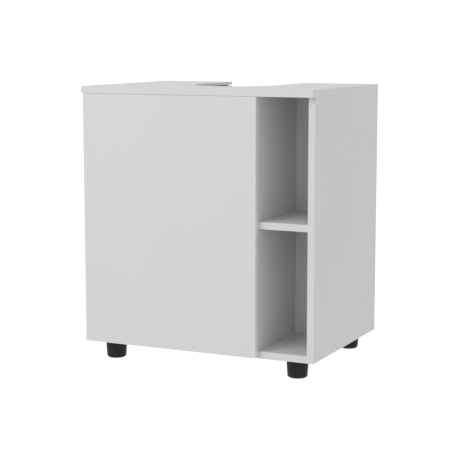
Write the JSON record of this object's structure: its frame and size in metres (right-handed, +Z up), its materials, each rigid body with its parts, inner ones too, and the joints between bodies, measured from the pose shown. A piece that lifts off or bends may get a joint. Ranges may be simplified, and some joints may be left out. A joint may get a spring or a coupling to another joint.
{
  "type": "bathroom vanity cabinet",
  "caption": "White under-basin cabinet on black feet, with a handleless hinged door, an open shelf niche and a U-shaped siphon cut-out in the top.",
  "frame": {"origin": "centre of the cabinet's footprint on the floor, at the underside of the feet", "axes": "+Z up, +Y from the door towards the wall, +X to the right of a person who faces the door"},
  "size_m": [0.575, 0.42, 0.644],
  "materials": {
    "white_melamine": "white melamine-faced chipboard, fine satin texture",
    "white_edge_band": "white ABS edge band, satin",
    "white_hardboard": "white lacquered hardboard, brown rear face",
    "black_plastic": "black moulded plastic, fine spark-eroded texture",
    "beech": "bare fluted beech",
    "zinc_plated_steel": "bright zinc plating",
    "nickel_plated_steel": "nickel plating, pressed sheet",
    "grey_plastic": "light grey moulded plastic",
    "white_plastic": "white moulded plastic",
    "magnet": "bare sintered magnet",
    "clear_rubber": "translucent soft bumper"
  },
  "bodies": {
    "carcass": {"top_panel": "white_melamine", "bottom_panel": "white_melamine", "left_side_panel": "white_melamine", "right_side_panel": "white_melamine", "divider_panel": "white_melamine", "niche_back_panel": "white_melamine", "niche_shelf": "white_melamine", "back_panel": "white_hardboard", "top_edge_bands": "white_edge_band", "bottom_edge_bands": "white_edge_band", "upright_edge_bands": "white_edge_band", "foot_front_left": "black_plastic", "foot_front_right": "black_plastic", "foot_rear_left": "black_plastic", "foot_rear_right": "black_plastic", "foot_screws": "zinc_plated_steel", "dowels": "beech", "cam_bolts": "zinc_plated_steel", "cam_locks": "zinc_plated_steel", "cam_caps": "white_plastic", "confirmat_screws": "zinc_plated_steel", "back_nails": "zinc_plated_steel", "upper_hinge_plate": "nickel_plated_steel", "lower_hinge_plate": "nickel_plated_steel", "upper_hinge_arm": "nickel_plated_steel", "lower_hinge_arm": "nickel_plated_steel", "hinge_arm_pins": "nickel_plated_steel", "hinge_plate_screws": "zinc_plated_steel", "hinge_setting_screws": "zinc_plated_steel", "latch_housing": "grey_plastic", "latch_screws": "zinc_plated_steel", "left_wall_bracket": "zinc_plated_steel", "right_wall_bracket": "zinc_plated_steel", "bracket_screws": "zinc_plated_steel"},
    "hinge_links": {"upper_hinge_link": "nickel_plated_steel", "lower_hinge_link": "nickel_plated_steel"},
    "door": {"door_panel": "white_melamine", "door_edge_bands": "white_edge_band", "upper_hinge_cup": "nickel_plated_steel", "lower_hinge_cup": "nickel_plated_steel", "hinge_cup_pins": "nickel_plated_steel", "hinge_cup_screws": "zinc_plated_steel", "strike_plate": "nickel_plated_steel", "strike_screw": "zinc_plated_steel", "door_bumpers": "clear_rubber"},
    "latch_plunger": {"latch_plunger": "white_plastic", "latch_magnet": "magnet"}
  },
  "joints": [
    {"name": "hinge_link_swing", "type": "hinge", "parent": "carcass", "child": "hinge_links", "pos_m": [-0.2515, -0.2, 0.33675], "axis": [0, 0, 1], "range_deg": [0, 30.4]},
    {"name": "door_swing", "type": "hinge", "parent": "hinge_links", "child": "door", "pos_m": [-0.2735, -0.197, 0.33675], "axis": [0, 0, -1], "range_deg": [0, 125.4]},
    {"name": "latch_push", "type": "slide", "parent": "carcass", "child": "latch_plunger", "axis": [0, 1, 0], "range_m": [0, 0.003], "stiffness_N_per_m": 800}
  ],
  "couplings": [
    {"joint": "hinge_link_swing", "follows": "door_swing", "ratio": 0.24242}
  ]
}
